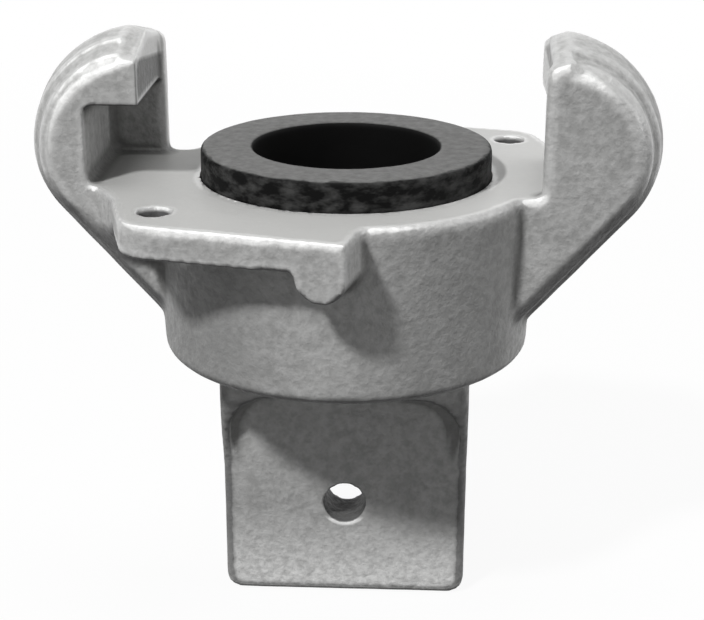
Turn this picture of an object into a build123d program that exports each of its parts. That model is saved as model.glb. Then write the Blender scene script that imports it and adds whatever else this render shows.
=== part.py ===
from build123d import *
from math import cos, radians, sin, sqrt, tan
import os

# A blank-end claw hose coupling: it closes the end of an air line. One malleable iron casting
# carries two claws and two locking lugs round a drum, with a flat tang below for a safety chain.
# A rubber washer sits in the face and seals against the washer of the mating half.
# Millimetres. The coupling's axis is Z and its sealing face is at z = 0, with the claws above it.
# Both claws and both lugs are the same form, turned half a turn about the axis.

# Drum, drafted towards its bottom
drum_radius = 22.0
drum_foot_radius = 21.3
drum_height = 20.2
drum_bottom_round = 1.2
drum_face_round = 0.5

# Rubber washer, and the groove in the face that holds it by its bead
washer_radius = 16.65
washer_bore_radius = 10.65
washer_stand = 3.4
washer_depth = 5.6
washer_round = 0.45
bead_width = 0.8
bead_height = 2.0
bead_slope = 0.8
washer_clearance = 0.12

# Blind bore behind the washer
bore_radius = 10.9
bore_floor = 4.6

# Claw: its rim falls from a crest at the casting's parting line, in two steps on each side
claw_centre_x = 22.6
claw_centre_z = 3.5
claw_crest_radius = 13.3
crest_y = -0.6
open_face_y = 7.5
open_face_drop = 3.1
open_steps = ((0.50, 0.20), (0.60, 0.44), (0.83, 0.62), (0.93, 0.88))
web_face_y = -10.2
web_face_centre_x = 23.5
web_face_centre_z = 4.7
web_face_radius = 8.8
web_steps = ((0.50, 0.28), (0.57, 0.50), (0.86, 0.64), (0.94, 0.86))
strut_angle = 41.9
strut_sink = 0.6
strut_turn = 2.0
web_thickness = 2.2
web_edge_x = 21.8
lip_end_x = 22.5
lip_underside = 9.0
throat_wall_x = 28.6
throat_round = 1.0
nose_x = 24.4
nose_crest_drop = 0.15
nose_open_z = 14.1
nose_web_z = 14.8
nose_fall = 0.8
nose_corner = 0.6

# Locking lug: a bar in a frame turned about the axis, thinner at its entry end
lug_turn = 14.2
lug_reach = 26.45
lug_entry_end = 8.0
lug_lock_end = -16.4
lug_elbow_x = -21.6
lug_elbow_in = 9.15
lug_tail_x = -26.2
lug_tail_in = 13.75
lug_root_x = -16.6
lug_root_in = 19.4
lug_lock_thickness = 3.85
lug_entry_thickness = 3.6
lug_corner_round = 4.5
gusset_depth = 8.5
gusset_foot_x = -21.1
gusset_foot_in = 13.4
gusset_heel_x = -23.0
gusset_heel_in = 14.6
stop_radius = 2.8
stop_drop = 0.35
pin_hole_radius = 1.8
pin_hole_x = -14.76
pin_hole_in = 5.28

# Neck and tang: the tang's faces are sunk in the neck under an arch, and the neck tapers into it
neck_radius = 15.6
neck_half_thickness = 6.5
neck_taper_top = 25.5
neck_foot = 36.0
neck_rib = 1.05
tang_half_width = 14.75
tang_half_thickness = 3.3
tang_bottom = 53.0
tang_corner_round = 2.0
tang_edge_round = 0.7
arch_top = 25.9
arch_round = 5.2
chain_hole_radius = 2.5
chain_hole_z = 40.8


def drum():
    """The round body, turned, with rounded edges."""
    section = Polyline((0, 0, 0), (drum_radius, 0, 0), (drum_foot_radius, 0, -drum_height),
                       (0, 0, -drum_height), close=True)
    body = revolve(make_face(section), Axis.Z)
    rims = body.edges().filter_by(GeomType.CIRCLE)
    body = fillet(rims.sort_by(Axis.Z)[0], drum_bottom_round)
    return fillet(body.edges().filter_by(GeomType.CIRCLE).sort_by(Axis.Z)[-1], drum_face_round)


def rim_contour(y, centre_x, centre_z, radius, turn):
    """One slice of the claw: round over the top, a tighter turn, then straight down into the drum."""
    angle = radians(strut_angle)
    lower = radius - turn
    outer_x = centre_x + radius
    top = (centre_x, y, centre_z + radius)
    shoulder = (centre_x + radius * cos(angle), y, centre_z + radius * sin(angle))
    side = (outer_x, y, centre_z)
    bend = (outer_x - lower + lower * cos(angle / 2), y, centre_z - lower * sin(angle / 2))
    strut = (outer_x - lower + lower * cos(angle), y, centre_z - lower * sin(angle))
    foot_x = sqrt(drum_foot_radius ** 2 - y ** 2) - strut_sink
    foot_z = strut[2] - (strut[0] - foot_x) / tan(angle)
    arcs = ThreePointArc(top, shoulder, side).edges() + ThreePointArc(side, bend, strut).edges()
    path = Polyline(strut, (foot_x, y, foot_z), (bore_radius, y, foot_z), (bore_radius, y, top[2]), top)
    return make_face(arcs + path.edges())


def open_contour(way, fall):
    """The open side's slice, this share of the way from the crest to the open face."""
    y = crest_y + way * (open_face_y - crest_y)
    radius = claw_crest_radius - fall * open_face_drop
    return rim_contour(y, claw_centre_x, claw_centre_z, radius, strut_turn)


def web_contour(way, fall):
    """The web side's slice, this share of the way from the crest to the web's face."""
    y = crest_y + way * (web_face_y - crest_y)
    centre_x = claw_centre_x + fall * (web_face_centre_x - claw_centre_x)
    centre_z = claw_centre_z + fall * (web_face_centre_z - claw_centre_z)
    radius = claw_crest_radius + fall * (web_face_radius - claw_crest_radius)
    return rim_contour(y, centre_x, centre_z, radius, (1 - fall) * strut_turn)


def rim_side(contour, steps):
    """One side of the rim, lofted straight from the crest over its steps to the face."""
    slices = [contour(way, fall) for way, fall in ((0, 0), *steps, (1, 1))]
    side = loft(slices[:2], ruled=True)
    for near, far in zip(slices[1:], slices[2:]):
        side += loft([near, far], ruled=True)
    return side


def block(x0, x1, y0, y1, z0, z1):
    """A box between two corners."""
    return Pos((x0 + x1) / 2, (y0 + y1) / 2, (z0 + z1) / 2) * Box(x1 - x0, y1 - y0, z1 - z0)


def throat():
    """The slot under the lip where the mating lug turns in, open towards the axis and one side."""
    web_inside = web_face_y + web_thickness
    slot = block(0, throat_wall_x, web_inside, 2 * open_face_y, 0, lip_underside)
    corners = slot.edges().filter_by(Axis.Y).group_by(Axis.X)[-1]
    return fillet(corners, throat_round)


def nose_section(x, fall):
    """The nose's section at this place, with its ridge this much lower."""
    ridge_z = claw_centre_z + claw_crest_radius - nose_crest_drop - fall
    corners = Polyline(
        (x, web_face_y, lip_underside), (x, web_face_y, nose_web_z - fall), (x, crest_y, ridge_z),
        (x, open_face_y, nose_open_z), (x, open_face_y, lip_underside), close=True)
    return make_face(corners)


def nose():
    """The plain end of the rim over the lip: it falls from a ridge to both faces and to its end."""
    bar = loft([nose_section(nose_x, 0), nose_section(web_edge_x, nose_fall)], ruled=True)
    end_edges = bar.faces().filter_by(Axis.X).sort_by(Axis.X)[0].edges()
    corner = end_edges.sort_by_distance((web_edge_x, web_face_y / 2, claw_centre_z + claw_crest_radius))[0]
    return chamfer(corner, nose_corner)


def claw():
    """The claw on +X: a web on its -Y side, open on its +Y side."""
    above = claw_centre_z + 2 * claw_crest_radius
    web_inside = web_face_y + web_thickness
    rim = rim_side(web_contour, web_steps) + rim_side(open_contour, open_steps)
    rim -= block(0, nose_x, 2 * web_face_y, 2 * open_face_y, lip_underside, above)
    body = rim + nose() - throat()
    body -= block(0, lip_end_x, web_inside, 2 * open_face_y, 0, above)
    return body - block(0, web_edge_x, 2 * web_face_y, web_inside, 0, above)


def lug():
    """The locking lug on -Y: its top is level with the face, its underside is a shallow ramp."""
    front = -lug_reach
    outline = Polyline(
        (lug_tail_x, front + lug_tail_in), (lug_elbow_x, front + lug_elbow_in), (lug_lock_end, front),
        (lug_entry_end, front), (lug_entry_end, -bore_radius), (lug_root_x, front + lug_root_in), close=True)
    plate = extrude(make_face(outline), -lug_lock_thickness)
    upright = plate.edges().filter_by(Axis.Z)
    corner = upright.sort_by_distance((lug_lock_end, front, -lug_lock_thickness / 2))[0]
    plate = fillet(corner, lug_corner_round)
    ramp = Polyline(
        (lug_lock_end, 0, -lug_lock_thickness), (lug_entry_end, 0, -lug_entry_thickness),
        (lug_entry_end, 0, -lug_lock_thickness), close=True)
    plate -= extrude(make_face(ramp), 2 * lug_reach, both=True)
    stop_x = lug_entry_end - stop_radius
    stop_z = -lug_entry_thickness - stop_drop
    stop_length = lug_reach - washer_radius
    stop = Pos(stop_x, front, stop_z) * Rot(-90, 0, 0) * Cylinder(
        stop_radius, stop_length, align=(Align.CENTER, Align.CENTER, Align.MIN))
    stop += block(stop_x - stop_radius, lug_entry_end, front, front + stop_length, stop_z, 0)
    return Rot(0, 0, -lug_turn) * (plate + stop)


def lug_gusset():
    """The flare that carries the lug's tail: it runs down into the open side of the claw."""
    front = -lug_reach
    tail = (lug_tail_x, front + lug_tail_in)
    elbow = (lug_elbow_x, front + lug_elbow_in)
    heel = (gusset_heel_x, front + gusset_heel_in)
    foot = (gusset_foot_x, front + gusset_foot_in)
    inner = (lug_root_x, front + gusset_foot_in)
    root = (lug_root_x, front + lug_root_in)
    top = make_face(Polyline(tail, elbow, inner, root, close=True))
    bottom = make_face(Polyline(heel, foot, inner, root, close=True))
    flare = loft([top, Pos(0, 0, -gusset_depth) * bottom], ruled=True)
    return Rot(0, 0, -lug_turn) * flare


def pin_hole():
    """The hole in the lug for a safety pin or clip."""
    hole = Pos(pin_hole_x, pin_hole_in - lug_reach, 0) * Cylinder(pin_hole_radius, 4 * lug_lock_thickness)
    return Rot(0, 0, -lug_turn) * hole


def neck():
    """The round neck under the drum: it tapers towards the tang and is open under its arch."""
    top = -drum_height / 2
    side = Polyline(
        (0, -neck_half_thickness, top), (0, -neck_half_thickness, -neck_taper_top),
        (0, -tang_half_thickness, -neck_foot), (0, tang_half_thickness, -neck_foot),
        (0, neck_half_thickness, -neck_taper_top), (0, neck_half_thickness, top), close=True)
    taper = extrude(make_face(side), tang_half_width, both=True)
    body = taper & Pos(0, 0, -neck_foot) * Cylinder(
        neck_radius, neck_foot + top, align=(Align.CENTER, Align.CENTER, Align.MIN))
    arch_half = tang_half_width - neck_rib
    arch = block(-arch_half, arch_half, -neck_radius, neck_radius, -2 * neck_foot, -arch_top)
    return body - fillet(arch.edges().filter_by(Axis.Y).group_by(Axis.Z)[-1], arch_round)


def tang():
    """The flat tang below the neck, with its chain hole."""
    half = tang_half_width
    plate = block(-half, half, -tang_half_thickness, tang_half_thickness, -tang_bottom, -drum_height / 2)
    plate = fillet(plate.edges().filter_by(Axis.Y).group_by(Axis.Z)[0], tang_corner_round)
    plate = fillet(plate.faces().filter_by(Axis.Y).edges(), tang_edge_round)
    hole = Pos(0, 0, -chain_hole_z) * Rot(90, 0, 0) * Cylinder(chain_hole_radius, 4 * tang_half_thickness)
    return plate - hole


def washer_groove():
    """The room for the washer and its bead, and the blind bore behind them."""
    rim = washer_radius + washer_clearance
    groove = Cylinder(rim, washer_depth, align=(Align.CENTER, Align.CENTER, Align.MAX))
    undercut = Pos(0, 0, -washer_depth) * Cylinder(
        rim + bead_width, bead_height + washer_clearance, align=(Align.CENTER, Align.CENTER, Align.MIN))
    bore = Cylinder(bore_radius, drum_height - bore_floor, align=(Align.CENTER, Align.CENTER, Align.MAX))
    return groove + undercut + bore


def coupling_body():
    """The whole casting."""
    claw_half = claw()
    lug_half = lug() + lug_gusset()
    body = drum() + neck() + tang()
    for turn in (0, 180):
        body += Rot(0, 0, turn) * claw_half
        body += Rot(0, 0, turn) * lug_half
    for turn in (0, 180):
        body -= Rot(0, 0, turn) * pin_hole()
    return body - washer_groove()


def sealing_washer():
    """The rubber washer: a plain ring above the face, with a bead at its foot."""
    outer = washer_radius
    bead_top = bead_height - washer_depth
    section = Polyline(
        (washer_bore_radius, 0, -washer_depth), (outer + bead_width, 0, -washer_depth),
        (outer + bead_width, 0, bead_top - bead_slope), (outer, 0, bead_top),
        (outer, 0, washer_stand), (washer_bore_radius, 0, washer_stand), close=True)
    ring = revolve(make_face(section), Axis.Z)
    return fillet(ring.edges().filter_by(GeomType.CIRCLE).group_by(Axis.Z)[-1], washer_round)


os.makedirs("parts", exist_ok=True)
export_step(coupling_body(), "parts/coupling_body.step")
export_step(sealing_washer(), "parts/sealing_washer.step")
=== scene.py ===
from math import radians

import bmesh
import bpy
import numpy as np
from mathutils import Matrix, Vector, noise


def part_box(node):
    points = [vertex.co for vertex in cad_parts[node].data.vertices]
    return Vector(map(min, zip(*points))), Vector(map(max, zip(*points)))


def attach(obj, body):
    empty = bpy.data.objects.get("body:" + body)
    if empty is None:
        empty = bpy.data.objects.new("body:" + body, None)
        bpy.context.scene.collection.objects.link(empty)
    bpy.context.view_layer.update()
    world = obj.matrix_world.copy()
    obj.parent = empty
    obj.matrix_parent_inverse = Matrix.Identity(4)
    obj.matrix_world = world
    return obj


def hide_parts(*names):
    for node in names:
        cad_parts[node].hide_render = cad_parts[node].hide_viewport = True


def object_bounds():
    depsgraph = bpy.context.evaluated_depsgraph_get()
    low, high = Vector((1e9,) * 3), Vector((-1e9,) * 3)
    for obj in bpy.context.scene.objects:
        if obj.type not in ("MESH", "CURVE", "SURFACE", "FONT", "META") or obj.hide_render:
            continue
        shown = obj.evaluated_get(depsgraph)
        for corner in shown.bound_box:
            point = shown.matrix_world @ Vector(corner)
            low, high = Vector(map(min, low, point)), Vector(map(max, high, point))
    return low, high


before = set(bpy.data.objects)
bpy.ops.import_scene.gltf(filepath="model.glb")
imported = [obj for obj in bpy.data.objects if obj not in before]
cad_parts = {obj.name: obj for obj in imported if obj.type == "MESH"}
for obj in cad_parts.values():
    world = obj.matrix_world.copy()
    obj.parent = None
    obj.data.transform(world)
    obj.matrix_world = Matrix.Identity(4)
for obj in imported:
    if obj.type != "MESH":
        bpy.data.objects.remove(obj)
cad_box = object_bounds()


# The casting: drum, claws, lugs and tang in one piece of malleable iron.
# It was poured in a sand mould, so its edges are round and its skin is finely pitted. After
# that its face was ground, and the whole casting was zinc plated and tumbled with others.

casting_voxel = 0.00041
edge_rounding_passes = 3
soft_share = 0.5
crisp_share = 0.12
groove_radius = 0.01677
pin_holes = ((-0.0195, -0.0169, 0.0018), (0.0195, 0.0169, 0.0018))
chain_hole = (0.0, -0.0408, 0.0025)
lug_depth = 0.006
crisp_reach = 0.0009
edge_mark_passes = 10
skin_dent = 0.00006
skin_dent_size = 0.0035
skin_dent_seed = 3.0
lug_fillet_corners = (
    (-0.0285, -0.0059, -0.001), (-0.0252, -0.0115, -0.001), (-0.0193, -0.0086, -0.001),
    (-0.0285, -0.0059, -0.0044), (-0.0252, -0.0115, -0.0042), (-0.0193, -0.0086, -0.0042),
    (-0.0240, -0.0062, -0.0098), (-0.0224, -0.0073, -0.0098))
flare_centre = (-0.0262, -0.0088, -0.0048)
flare_reach = 0.0055
flare_passes = 40
face_margin = 0.0003
face_fade = 0.001


def vertex_points(mesh):
    """The mesh's vertices as an array."""
    points = np.empty(len(mesh.vertices) * 3)
    mesh.vertices.foreach_get("co", points)
    return points.reshape(-1, 3)


def vertex_normals(mesh):
    """The mesh's vertex normals as an array."""
    normals = np.empty(len(mesh.vertices) * 3)
    mesh.vertex_normals.foreach_get("vector", normals)
    return normals.reshape(-1, 3)


def rubbed_down(points, mesh, passes, share=soft_share):
    """The points after each was moved this share of the way to the middle of its neighbours."""
    share = np.broadcast_to(share, len(points))[:, None]
    ends = np.empty(len(mesh.edges) * 2, dtype=np.int64)
    mesh.edges.foreach_get("vertices", ends)
    ends = ends.reshape(-1, 2)
    here = np.concatenate([ends[:, 0], ends[:, 1]])
    there = np.concatenate([ends[:, 1], ends[:, 0]])
    count = np.bincount(here, minlength=len(points)).clip(1)
    for _ in range(passes):
        middle = np.stack(
            [np.bincount(here, weights=points[there, k], minlength=len(points)) for k in range(3)], 1)
        points = (1 - share) * points + share * middle / count[:, None]
    return points


def add_both_ways(mesh, corners):
    """Adds the convex lump through these corners, and the same lump half a turn round."""
    shape = bmesh.new()
    shape.from_mesh(mesh)
    for side in (1, -1):
        lump = [shape.verts.new((side * x, side * y, z)) for x, y, z in corners]
        bmesh.ops.convex_hull(shape, input=lump)
    shape.to_mesh(mesh)
    shape.free()


def fine_skin(name, node, voxel, passes, softness=None, lump=None):
    """A copy of the solid with a fine, even skin of small faces and slightly rounded edges.
    Softness gives the share that each point moves, where some edges stay crisp."""
    piece = bpy.data.objects.new(name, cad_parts[node].data.copy())
    if lump:
        add_both_ways(piece.data, lump)
    bpy.context.scene.collection.objects.link(piece)
    remesh = piece.modifiers.new("even skin", "REMESH")
    remesh.mode = "VOXEL"
    remesh.voxel_size = voxel
    bpy.context.view_layer.update()
    graph = bpy.context.evaluated_depsgraph_get()
    piece.data = bpy.data.meshes.new_from_object(piece.evaluated_get(graph))
    piece.data.name = name
    piece.modifiers.clear()
    points = vertex_points(piece.data)
    points = rubbed_down(points, piece.data, passes, softness(points) if softness else soft_share)
    piece.data.vertices.foreach_set("co", points.ravel())
    piece.data.update()
    return piece


def store_on_vertices(mesh, name, values):
    """Keeps a number for each vertex, for the materials to read."""
    layer = mesh.attributes.new(name, "FLOAT", "POINT")
    layer.data.foreach_set("value", np.asarray(values, dtype=np.float32))


def mark_edges(mesh, reach):
    """Stores how far each vertex stands proud of a rubbed-down copy, in millimetres: edges are
    above 0 and inner corners below."""
    points = vertex_points(mesh)
    soft = rubbed_down(points, mesh, reach)
    proud = np.einsum("ij,ij->i", points - soft, vertex_normals(mesh))
    store_on_vertices(mesh, "proud", proud * 1000)


def dent_skin(mesh, depth, size, box, seed):
    """Sinks the skin a little in slow waves, as a sand mould leaves it, and keeps it in its box."""
    points = vertex_points(mesh)
    shift = Vector((seed, 0, 0))
    waves = np.array([noise.noise(Vector(p) / size + shift) for p in points])
    points -= vertex_normals(mesh) * (depth * (1 + waves) / 2)[:, None]
    points = np.clip(points, np.array(box[0]), np.array(box[1]))
    mesh.vertices.foreach_set("co", points.ravel())
    mesh.update()


def bored_edges_crisp(points):
    """The share of rounding at each point: little at the groove and the holes, which were cut."""
    across, away, up = points.T
    gaps = [np.hypot(np.hypot(across, away) - groove_radius, up)]
    far = 1.0
    for x, y, radius in pin_holes:
        gaps.append(np.where(np.abs(up) < lug_depth, np.abs(np.hypot(across - x, away - y) - radius), far))
    x, z, radius = chain_hole
    gaps.append(np.abs(np.hypot(across - x, up - z) - radius))
    return crisp_share + (soft_share - crisp_share) * np.clip(np.min(gaps, 0) / crisp_reach - 0.5, 0, 1)


def blended_flare(mesh):
    """Rubs the lug's end and the claw's side together, as one wide fillet under the face."""
    points = vertex_points(mesh)
    share = np.zeros(len(points))
    for side in (1, -1):
        away = np.linalg.norm(points - np.array(flare_centre) * (side, side, 1), axis=1)
        share = np.maximum(share, soft_share * np.clip(2 - 2 * away / flare_reach, 0, 1))
    share *= np.clip((-points[:, 2] - face_margin) / face_fade, 0, 1)
    mesh.vertices.foreach_set("co", rubbed_down(points, mesh, flare_passes, share).ravel())
    mesh.update()


def true_groove_rim(mesh):
    """Draws the faceted rim of the groove onto its true circle, level with the face."""
    points = vertex_points(mesh)
    across = np.hypot(points[:, 0], points[:, 1])
    reach = 0.7 * casting_voxel
    near = (np.abs(across - groove_radius) < reach) & (np.abs(points[:, 2]) < reach)
    points[near, :2] *= (groove_radius / across[near])[:, None]
    points[near, 2] = 0.0
    mesh.vertices.foreach_set("co", points.ravel())
    mesh.update()


casting = fine_skin(
    "coupling_casting", "coupling_body", casting_voxel, edge_rounding_passes, bored_edges_crisp,
    lug_fillet_corners)
blended_flare(casting.data)
mark_edges(casting.data, edge_mark_passes)
dent_skin(casting.data, skin_dent, skin_dent_size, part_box("coupling_body"), skin_dent_seed)
true_groove_rim(casting.data)
casting.data.shade_smooth()


def new_group(name, inputs, outputs):
    """An empty node group with numbers in and numbers out, and its two end nodes."""
    group = bpy.data.node_groups.new(name, "ShaderNodeTree")
    for label, value in inputs:
        socket = group.interface.new_socket(label, in_out="INPUT", socket_type="NodeSocketFloat")
        socket.default_value = value
    for label in outputs:
        group.interface.new_socket(label, in_out="OUTPUT", socket_type="NodeSocketFloat")
    return group, group.nodes.new("NodeGroupInput"), group.nodes.new("NodeGroupOutput")


def arithmetic(tree, operation, a, b=0.0):
    """A Math node; a and b are sockets or plain numbers."""
    node = tree.nodes.new("ShaderNodeMath")
    node.operation = operation
    for slot, value in zip(node.inputs, (a, b)):
        if isinstance(value, bpy.types.NodeSocket):
            tree.links.new(value, slot)
        else:
            slot.default_value = value
    return node.outputs[0]


def multiplied(tree, first, *others):
    """The product of these sockets and numbers."""
    for other in others:
        first = arithmetic(tree, "MULTIPLY", first, other)
    return first


def larger(tree, a, b):
    """The larger of two masks."""
    return arithmetic(tree, "MAXIMUM", a, b)


def without(tree, a, b):
    """The mask a where b isn't."""
    return arithmetic(tree, "SUBTRACT", a, multiplied(tree, b, a))


def from_centre(tree, a, b):
    """The distance of a point from a centre, from its two offsets."""
    return arithmetic(tree, "SQRT", arithmetic(
        tree, "ADD", arithmetic(tree, "POWER", a, 2.0), arithmetic(tree, "POWER", b, 2.0)))


def spread(tree, value, low, high, to_low=0.0, to_high=1.0):
    """A clamped Map Range from low..high to to_low..to_high."""
    node = tree.nodes.new("ShaderNodeMapRange")
    tree.links.new(value, node.inputs["Value"])
    node.inputs["From Min"].default_value = low
    node.inputs["From Max"].default_value = high
    node.inputs["To Min"].default_value = to_low
    node.inputs["To Max"].default_value = to_high
    return node.outputs["Result"]


def noise_at(tree, where, scale, detail=2.0, roughness=0.5):
    """A noise texture's value, from 0 to 1, at features of 1 / scale."""
    node = tree.nodes.new("ShaderNodeTexNoise")
    tree.links.new(where, node.inputs["Vector"])
    if isinstance(scale, bpy.types.NodeSocket):
        tree.links.new(scale, node.inputs["Scale"])
    else:
        node.inputs["Scale"].default_value = scale
    node.inputs["Detail"].default_value = detail
    node.inputs["Roughness"].default_value = roughness
    return node.outputs["Fac"]


def stored_value(tree, name):
    """The number that a mesh keeps on its vertices under this name."""
    node = tree.nodes.new("ShaderNodeAttribute")
    node.attribute_name = name
    return node.outputs["Fac"]


def object_point(tree):
    """The place of a point on its object."""
    return tree.nodes.new("ShaderNodeTexCoord").outputs["Object"]


def surface_normal(tree):
    """The direction that the surface faces."""
    return tree.nodes.new("ShaderNodeNewGeometry").outputs["Normal"]


def split(tree, vector):
    """The X, Y and Z sockets of a vector."""
    node = tree.nodes.new("ShaderNodeSeparateXYZ")
    tree.links.new(vector, node.inputs[0])
    return node.outputs["X"], node.outputs["Y"], node.outputs["Z"]


def sand_cast_group():
    """Fine pits and grains of a sand-cast skin. Grain is its size in metres."""
    group, given, end = new_group("sand cast skin", [("Grain", 0.0006)], ("Height", "Mottle"))
    where = object_point(group)
    scale = arithmetic(group, "DIVIDE", 1.0, given.outputs["Grain"])
    grains = spread(group, noise_at(group, where, scale, 2.0, 0.6), 0.3, 0.7)
    lumps = spread(group, noise_at(group, where, multiplied(group, scale, 0.35)), 0.3, 0.7)
    height = arithmetic(group, "ADD", multiplied(group, grains, 0.65), multiplied(group, lumps, 0.35))
    group.links.new(height, end.inputs["Height"])
    group.links.new(spread(group, height, 0.2, 0.8), end.inputs["Mottle"])
    return group


# Faces turned half way between the key lamp and the camera get a painted highlight, and so do rubbed edges
# turned nearly that way.
highlight_facing = (-0.19, -0.82, 0.54)
highlight_on_faces = (0.945, 0.98)
highlight_on_edges = (0.84, 0.91)
above_drum_side = (-0.007, -0.003)
tang_sides = (0.0130, 0.0138)
tang_end = (-0.0505, -0.0515)
below_neck = (-0.022, -0.026)
arch_right = (0.004, 0.008)
arch_crown = (-0.0210, -0.0220)
arch_foot = (-0.0340, -0.0310)


def edge_group():
    """Masks of rubbed edges, partly worn and partly painted highlight; of painted highlights where the
    surface turns half way between the key lamp and the camera; of painted shade on the tang's outline edges;
    and of painted shade in inner corners and in the arch's crease, broken up by noise.
    Edge and Corner are how far a point stands proud or sunk, in millimetres, where a mask is full."""
    group, given, end = new_group(
        "edges and corners", [("Edge", 0.05), ("Corner", 0.05)], ("Rubbed and highlit", "Painted highlight", "Outline shade", "Corner shade"))
    where = object_point(group)
    x, _, z = split(group, where)
    normal = surface_normal(group)
    proud = stored_value(group, "proud")
    broken = spread(group, noise_at(group, where, 900.0, 3.0), 0.3, 0.7, 0.6, 1.2)
    # Rubbed edges, partly real wear and partly painted highlight: left out where an edge faces down and
    # below the top of the drum's side.
    rubbed = arithmetic(group, "DIVIDE", multiplied(group, proud, broken), given.outputs["Edge"])
    rubbed = multiplied(group, spread(group, rubbed, 0.25, 1.0),
                        spread(group, split(group, normal)[2], -0.4, -0.1))
    head = spread(group, z, *above_drum_side)
    group.links.new(multiplied(group, rubbed, head), end.inputs["Rubbed and highlit"])
    # Painted shade along the tang's rounded outline edges, below the neck.
    outline = larger(group, spread(group, arithmetic(group, "ABSOLUTE", x), *tang_sides),
                     spread(group, z, *tang_end))
    group.links.new(multiplied(group, rubbed, outline, spread(group, z, *below_neck)), end.inputs["Outline shade"])
    # Painted highlight where the surface turns half way between the key lamp and the camera.
    turned = group.nodes.new("ShaderNodeVectorMath")
    turned.operation = "DOT_PRODUCT"
    group.links.new(normal, turned.inputs[0])
    turned.inputs[1].default_value = highlight_facing
    highlit_edge = multiplied(group, rubbed, spread(group, turned.outputs["Value"], *highlight_on_edges))
    highlight_mask = larger(group, highlit_edge, spread(group, turned.outputs["Value"], *highlight_on_faces))
    group.links.new(multiplied(group, highlight_mask, broken, head), end.inputs["Painted highlight"])
    # Painted shade in inner corners, stronger in the crease of the arch on the tang's right.
    sunk_share = arithmetic(group, "DIVIDE", multiplied(group, proud, -1.0), given.outputs["Corner"])
    arch = multiplied(group, spread(group, x, *arch_right), spread(group, z, *arch_crown),
                      spread(group, z, *arch_foot))
    arch_shade = multiplied(group, arch, spread(group, sunk_share, 0.05, 0.35))
    group.links.new(larger(group, arch_shade, spread(group, sunk_share, 0.2, 1.0)), end.inputs["Corner shade"])
    return group


tip_line_height = 0.0131
tip_line_slope = 0.135
tip_line_blur = 0.0003
lip_end_x = (0.0235, 0.0230)
lip_side = (-0.0080, -0.0076)
lip_underside = (0.0075, 0.0085)
web_side = (-0.0080, -0.0084)
web_foot = (0.0005, 0.0015)
faces_along = (0.5, 0.8)


def claw_end_light_and_shade(group, place, facing):
    """Painted light and painted shade on the claws' ends. A line across each tip divides the two: the left
    claw's lip end is painted light above it and dark below, the right claw's lip end is painted light below
    it, and the left claw's web end is painted light."""
    x, y, z = place
    side = multiplied(group, y, arithmetic(group, "SIGN", x))
    line = arithmetic(group, "ADD", tip_line_height, multiplied(group, side, tip_line_slope))
    above = spread(group, arithmetic(group, "SUBTRACT", z, line), -tip_line_blur, tip_line_blur)
    inward = spread(group, arithmetic(group, "ABSOLUTE", facing[0]), *faces_along)
    lip_end = multiplied(
        group, spread(group, arithmetic(group, "ABSOLUTE", x), *lip_end_x), spread(group, side, *lip_side),
        spread(group, z, *lip_underside), inward)
    left = spread(group, x, 0.001, -0.001)
    right = arithmetic(group, "SUBTRACT", 1.0, left)
    tip_light_mask = arithmetic(group, "ADD", multiplied(group, above, left), without(group, right, above))
    web_end = multiplied(group, spread(group, side, *web_side), spread(group, facing[0], *faces_along),
                         spread(group, z, *web_foot), left)
    tip_light_mask = larger(group, multiplied(group, tip_light_mask, lip_end), web_end)
    return tip_light_mask, multiplied(group, without(group, left, above), lip_end)


drum_shade_right = (0.000, 0.010)
drum_shade_right_end = (0.0205, 0.0175)
drum_shade_left = (-0.004, -0.012)
drum_shade_strength = 0.7
drum_top = (-0.0004, -0.0012)
drum_bottom = (-0.0215, -0.0205)
drum_skin = (0.0226, 0.0222)


def drum_flank_shade(group, place):
    """Painted shade on the drum's two flanks, which are darker than its front."""
    x, y, z = place
    flanks = multiplied(group, spread(group, x, *drum_shade_right, 0.0, drum_shade_strength),
                        spread(group, x, *drum_shade_right_end))
    flanks = larger(group, flanks, spread(group, x, *drum_shade_left))
    on_drum = multiplied(group, spread(group, z, *drum_top), spread(group, z, *drum_bottom),
                         spread(group, from_centre(group, x, y), *drum_skin))
    return multiplied(group, flanks, on_drum)


chain_hole_wall = (0.0030, 0.0028)
chain_hole_rim = (0.0031, 0.0029)
rim_highlight_height = (-0.0425, -0.0431)
pin_hole_wall = (0.0023, 0.0021)
under_face = (-0.0003, -0.0006)


def hole_shade_and_rim_highlight(group, place, facing):
    """Painted shade on the walls of the chain hole and the pin holes, and a painted highlight on the chain
    hole's lower rim.
    """
    x, y, z = place
    from_hole = from_centre(group, x, arithmetic(group, "ADD", z, -chain_hole[1]))
    in_tang = multiplied(group, spread(group, from_hole, *chain_hole_wall),
                         spread(group, arithmetic(group, "ABSOLUTE", facing[1]), 0.6, 0.3))
    rim_highlight = multiplied(group, spread(group, from_hole, *chain_hole_rim),
                          spread(group, z, *rim_highlight_height), spread(group, facing[1], -0.6, -0.8))
    side = multiplied(group, y, arithmetic(group, "SIGN", x))
    from_pin = from_centre(
        group, arithmetic(group, "SUBTRACT", arithmetic(group, "ABSOLUTE", x), pin_holes[1][0]),
        arithmetic(group, "SUBTRACT", side, pin_holes[1][1]))
    in_lug = multiplied(group, spread(group, from_pin, *pin_hole_wall), spread(group, facing[2], 0.5, 0.3),
                        spread(group, z, *under_face))
    return larger(group, in_tang, in_lug), rim_highlight


face_level = (0.0006, 0.0002)
faces_up = (0.9, 0.98)
faces_down = (-0.15, -0.5)
tang_foot = (-0.042, -0.051)


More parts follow.
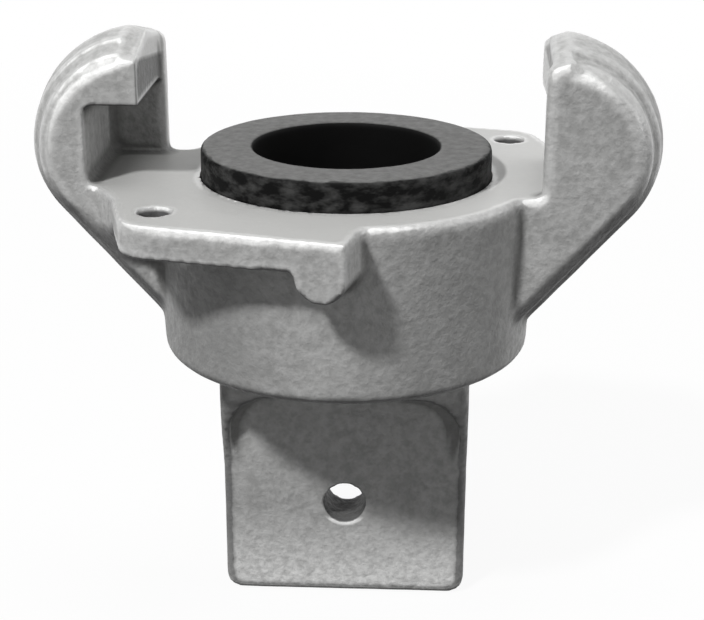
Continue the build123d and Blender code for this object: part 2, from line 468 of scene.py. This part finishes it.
def ground_and_painted_group():
    """Masks by where places are and how they face: the top face; painted light and painted shade on the
    claws' ends; painted shade on undersides, in the holes and on the drum's flanks; a painted highlight on
    the chain hole's lower rim; and a lighter speckle towards the tang's foot.
    """
    group, _, end = new_group(
        "ground places", [], ("Face", "Tip light", "Lip shade", "Underside shade", "Foot", "Hole shade", "Dull"))
    place = split(group, object_point(group))
    facing = split(group, surface_normal(group))
    tip_light_mask, lip_shade_mask = claw_end_light_and_shade(group, place, facing)
    hole, rim_highlight = hole_shade_and_rim_highlight(group, place, facing)
    face = multiplied(group, spread(group, arithmetic(group, "ABSOLUTE", place[2]), *face_level),
                      spread(group, facing[2], *faces_up))
    masks = {"Face": face, "Tip light": larger(group, tip_light_mask, rim_highlight), "Lip shade": lip_shade_mask, "Hole shade": hole,
             "Underside shade": spread(group, facing[2], *faces_down), "Foot": spread(group, place[2], *tang_foot),
             "Dull": drum_flank_shade(group, place)}
    for name, mask in masks.items():
        group.links.new(mask, end.inputs[name])
    return group


sand_cast = sand_cast_group()
edges_and_corners = edge_group()
ground_and_painted_places = ground_and_painted_group()


def new_material(name):
    """An empty material with a Principled shader, and its node tree."""
    material = bpy.data.materials.new(name)
    material.use_nodes = True
    return material, material.node_tree, material.node_tree.nodes["Principled BSDF"]


def placed(tree, group, **values):
    """Puts a node group in a material, with its own values."""
    node = tree.nodes.new("ShaderNodeGroup")
    node.node_tree = group
    for label, value in values.items():
        node.inputs[label].default_value = value
    return node


def mixed(tree, amount, a, b):
    """A colour mix; a and b are colours or sockets."""
    node = tree.nodes.new("ShaderNodeMix")
    node.data_type = "RGBA"
    tree.links.new(amount, node.inputs["Factor"])
    for slot, value in zip(("A", "B"), (a, b)):
        socket = [s for s in node.inputs if s.name == slot and s.type == "RGBA"][0]
        if isinstance(value, bpy.types.NodeSocket):
            tree.links.new(value, socket)
        else:
            socket.default_value = (*value, 1.0)
    return [s for s in node.outputs if s.type == "RGBA"][0]


casting_grain = 0.0009
zinc_in_pits = (0.38, 0.38, 0.375)
zinc_on_grains = (0.53, 0.53, 0.525)
zinc_clouds = (0.55, 0.55, 0.54)
ground_zinc = (0.47, 0.47, 0.46)
face_painted_light_right = (0.56, 0.56, 0.55)
face_light_span = (0.006, 0.020)
# Pale zinc for rubbed edges and the tang's foot, and painted light on the claws' ends and the chain hole's
# rim.
pale_zinc_and_painted_light = (0.95, 0.95, 0.94)
painted_highlight_zinc = (0.98, 0.98, 0.97)
lip_painted_shade = (0.19, 0.19, 0.188)
drum_painted_shade = (0.2, 0.2, 0.198)
outline_painted_shade = (0.08, 0.08, 0.08)
underside_painted_shade = (0.05, 0.05, 0.05)
hole_painted_shade = (0.06, 0.06, 0.06)
corner_painted_shade = (0.11, 0.11, 0.105)


def zinc_plated_casting():
    """Zinc plate over a sand-cast skin: light grey, dull in the pits and brighter on edges, with painted
    highlights and painted shade laid over it.
    """
    material, tree, shader = new_material("zinc plated casting")
    skin = placed(tree, sand_cast, Grain=casting_grain)
    edges = placed(tree, edges_and_corners, Edge=0.055, Corner=0.09)
    ground_and_painted = placed(tree, ground_and_painted_places)
    where = object_point(tree)
    clouds = spread(tree, noise_at(tree, where, 110.0, 3.0), 0.35, 0.65)
    speckle = spread(tree, noise_at(tree, where, 1300.0, 2.0, 0.6), 0.35, 0.6, 0.5, 1.0)
    # The top face, with painted light making it lighter towards the right.
    face_zinc_and_light = mixed(tree, spread(tree, split(tree, where)[0], *face_light_span), ground_zinc, face_painted_light_right)
    plate = mixed(tree, skin.outputs["Mottle"], zinc_in_pits, zinc_on_grains)
    layers = (
        (clouds, 0.25, zinc_clouds),
        (ground_and_painted.outputs["Face"], 1.0, face_zinc_and_light),
        # Painted light on the claws' ends and a painted highlight on the chain hole's lower rim.
        (ground_and_painted.outputs["Tip light"], 1.0, pale_zinc_and_painted_light),
        # Painted shade on the left claw's lip end.
        (ground_and_painted.outputs["Lip shade"], 1.0, lip_painted_shade),
        # Painted shade on the drum's two flanks.
        (ground_and_painted.outputs["Dull"], 0.6, drum_painted_shade),
        (ground_and_painted.outputs["Foot"], speckle, pale_zinc_and_painted_light),
        # Rubbed edges painted paler: partly wear, partly painted highlight.
        (edges.outputs["Rubbed and highlit"], 0.15, pale_zinc_and_painted_light),
        # Painted highlight on faces and edges turned between the key lamp and the camera.
        (edges.outputs["Painted highlight"], 0.95, painted_highlight_zinc),
        # Painted shade on the tang's outline edges.
        (edges.outputs["Outline shade"], 0.7, outline_painted_shade),
        # Painted shade on surfaces that face down.
        (ground_and_painted.outputs["Underside shade"], 0.9, underside_painted_shade),
        # Painted shade inside the holes.
        (ground_and_painted.outputs["Hole shade"], 0.8, hole_painted_shade),
        # Painted shade in inner corners and the arch's crease.
        (edges.outputs["Corner shade"], 0.65, corner_painted_shade),
    )
    for mask, amount, colour in layers:
        plate = mixed(tree, multiplied(tree, mask, amount), plate, colour)
    tree.links.new(plate, shader.inputs["Base Color"])
    shader.inputs["Metallic"].default_value = 0.0
    shader.inputs["Specular IOR Level"].default_value = 0.2
    tree.links.new(multiplied(tree, edges.outputs["Rubbed and highlit"], 0.8), shader.inputs["Coat Weight"])
    shader.inputs["Coat Roughness"].default_value = 0.35
    dull = spread(tree, skin.outputs["Mottle"], 0.0, 1.0, 0.55, 0.45)
    tree.links.new(arithmetic(tree, "SUBTRACT", dull, multiplied(tree, edges.outputs["Rubbed and highlit"], 0.12)),
                   shader.inputs["Roughness"])
    bump = tree.nodes.new("ShaderNodeBump")
    bump.inputs["Distance"].default_value = 0.00011
    depth = arithmetic(tree, "SUBTRACT", 1.0, multiplied(tree, ground_and_painted.outputs["Face"], 0.8))
    tree.links.new(multiplied(tree, skin.outputs["Height"], depth), bump.inputs["Height"])
    tree.links.new(bump.outputs["Normal"], shader.inputs["Normal"])
    return material


casting.data.materials.clear()
casting.data.materials.append(zinc_plated_casting())
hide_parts("coupling_body")
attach(casting, "root")


# The washer: one ring of black rubber, moulded and then cut to thickness.
# It is pushed into the casting's groove. Its side is dull and nicked from being pressed
# against other couplings, and its flat top is paler where it has been wiped.

washer_voxel = 0.00025
washer_dent = 0.00004
washer_dent_size = 0.002
washer_dent_seed = 11.0
washer_bore_end = (0.0125, 0.0135)
washer_rim = (0.01712, 0.01690)
nick_depth = 0.0014
rubber_black = (0.004, 0.004, 0.004)
rubber_smear = (0.062, 0.062, 0.061)
rubber_top = (0.115, 0.115, 0.113)
rubber_bloom = (0.19, 0.19, 0.187)

washer = fine_skin("face_washer", "sealing_washer", washer_voxel, edge_rounding_passes)
mark_edges(washer.data, edge_mark_passes)
dent_skin(washer.data, washer_dent, washer_dent_size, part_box("sealing_washer"), washer_dent_seed)
washer.data.shade_smooth()


def black_rubber():
    """Dull black rubber: a pale bloom on the flat top, black nicks and grey smears on the side."""
    material, tree, shader = new_material("black rubber")
    where = object_point(tree)
    x, y, _ = split(tree, where)
    radius = from_centre(tree, x, y)
    stretch = tree.nodes.new("ShaderNodeVectorMath")
    stretch.operation = "MULTIPLY"
    stretch.inputs[1].default_value = (1.0, 1.0, 2.0)
    tree.links.new(where, stretch.inputs[0])
    smears = spread(tree, noise_at(tree, stretch.outputs["Vector"], 420.0, 3.0, 0.6), 0.42, 0.68)
    smears = multiplied(tree, smears, spread(tree, radius, *washer_bore_end))
    side = mixed(tree, smears, rubber_black, rubber_smear)
    fine = spread(tree, noise_at(tree, where, 900.0, 4.0, 0.6), 0.3, 0.7)
    top = mixed(tree, fine, rubber_top, rubber_bloom)
    nicks = multiplied(tree, noise_at(tree, where, 420.0, 3.0), nick_depth)
    on_top = multiplied(tree, spread(tree, split(tree, surface_normal(tree))[2], 0.7, 0.95),
                        spread(tree, arithmetic(tree, "ADD", radius, nicks), *washer_rim, 0.3, 1.0))
    tree.links.new(mixed(tree, on_top, side, top), shader.inputs["Base Color"])
    shader.inputs["Roughness"].default_value = 0.6
    shader.inputs["Specular IOR Level"].default_value = 0.08
    bump = tree.nodes.new("ShaderNodeBump")
    bump.inputs["Distance"].default_value = 0.0001
    tree.links.new(multiplied(tree, smears, 0.8), bump.inputs["Height"])
    tree.links.new(bump.outputs["Normal"], shader.inputs["Normal"])
    return material


washer.data.materials.clear()
washer.data.materials.append(black_rubber())
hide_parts("sealing_washer")
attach(washer, "root")


# The floor and backdrop: one wide sheet of white paper under the coupling, in a white room.
# The camera sees both as white, and near the coupling the paper keeps a faint shadow.

floor_reach = 3.0
floor_shadow_share = 0.07
floor_shadow_reach = (0.08, 0.35)
paper_for_light = (0.27, 0.27, 0.27)
paper_seen = (0.9, 0.9, 0.9)
fill_strength = 0.13
white = (1.0, 1.0, 1.0, 1.0)

lowest = cad_box[0][2]
floor_mesh = bpy.data.meshes.new("paper_floor")
corners = [(-floor_reach, -floor_reach, lowest), (floor_reach, -floor_reach, lowest),
           (floor_reach, floor_reach, lowest), (-floor_reach, floor_reach, lowest)]
floor_mesh.from_pydata(corners, [], [(0, 1, 2, 3)])
floor = bpy.data.objects.new("paper_floor", floor_mesh)
bpy.context.scene.collection.objects.link(floor)


def seen_directly(tree):
    """1 for camera, glossy and transmitted rays, 0 for the rays that light the object."""
    path = tree.nodes.new("ShaderNodeLightPath")
    seen = larger(tree, path.outputs["Is Camera Ray"], path.outputs["Is Glossy Ray"])
    return larger(tree, seen, path.outputs["Is Transmission Ray"])


def white_paper():
    """Paper that the camera sees as white, with a share of the light and shadow that falls on it."""
    material = bpy.data.materials.new("white paper")
    material.use_nodes = True
    tree = material.node_tree
    tree.nodes.clear()
    paper = tree.nodes.new("ShaderNodeBsdfDiffuse")
    seen = seen_directly(tree)
    tree.links.new(mixed(tree, seen, paper_for_light, paper_seen), paper.inputs["Color"])
    glow = tree.nodes.new("ShaderNodeEmission")
    glow.inputs["Color"].default_value = white
    away = tree.nodes.new("ShaderNodeVectorMath")
    away.operation = "LENGTH"
    tree.links.new(object_point(tree), away.inputs[0])
    whitened = spread(tree, away.outputs["Value"], *floor_shadow_reach, 1.0 - floor_shadow_share, 1.0)
    both = tree.nodes.new("ShaderNodeMixShader")
    tree.links.new(multiplied(tree, seen, whitened), both.inputs["Fac"])
    tree.links.new(paper.outputs["BSDF"], both.inputs[1])
    tree.links.new(glow.outputs["Emission"], both.inputs[2])
    end = tree.nodes.new("ShaderNodeOutputMaterial")
    tree.links.new(both.outputs["Shader"], end.inputs["Surface"])
    return material


floor_mesh.materials.append(white_paper())

world = bpy.data.worlds.new("white studio")
bpy.context.scene.world = world
world.use_nodes = True
sky = world.node_tree
background = sky.nodes["Background"]
background.inputs["Color"].default_value = white
sky.links.new(spread(sky, seen_directly(sky), 0.0, 1.0, fill_strength, 1.0), background.inputs["Strength"])


# The lamps: a small bright key at the upper left, in front of the coupling.
# A wide soft lamp hangs over it, so the face is brighter than the sides, and another
# on the right fills the drum's shaded side.


def lamp(name, toward, distance, size, watts):
    """A round area lamp that looks at the face from the given direction."""
    data = bpy.data.lights.new(name, "AREA")
    data.shape = "DISK"
    data.size = size
    data.energy = watts
    made = bpy.data.objects.new(name, data)
    direction = Vector(toward).normalized()
    made.location = direction * distance
    made.rotation_euler = direction.to_track_quat("Z", "Y").to_euler()
    bpy.context.scene.collection.objects.link(made)
    return made


lamp("key", toward=(-0.41, -0.55, 0.72), distance=0.75, size=0.08, watts=4.2)
lamp("overhead", toward=(0.1, 0.1, 1.0), distance=1.0, size=0.6, watts=3.4)
lamp("side", toward=(1.0, 0.0, 0.3), distance=1.0, size=0.5, watts=2.2)


# The camera: a lens of medium length, a little above the face and near the coupling.
# Its place, aim and length are those that fit the photograph.

camera_pitch = radians(20.116)
camera_yaw = radians(-2.586)
camera_roll = radians(0.155)
camera_distance = 0.18559
aim = Vector((0.000695, 0.0, -0.016866))
frame_width_px = 704
focal_length_px = 1563.07

camera_data = bpy.data.cameras.new("camera")
camera_data.sensor_fit = "HORIZONTAL"
camera_data.sensor_width = 36.0
camera_data.lens = focal_length_px / frame_width_px * camera_data.sensor_width
camera_data.clip_start = 0.01
camera_data.clip_end = 20.0
camera = bpy.data.objects.new("camera", camera_data)
look = Matrix.Rotation(radians(90) - camera_pitch, 4, "X") @ Matrix.Rotation(camera_roll, 4, "Z")
stand = aim + look @ Vector((0, 0, camera_distance))
camera.matrix_world = Matrix.Rotation(-camera_yaw, 4, "Z") @ Matrix.Translation(stand) @ look
bpy.context.scene.collection.objects.link(camera)
bpy.context.scene.camera = camera
bpy.context.scene.view_settings.view_transform = "Standard"
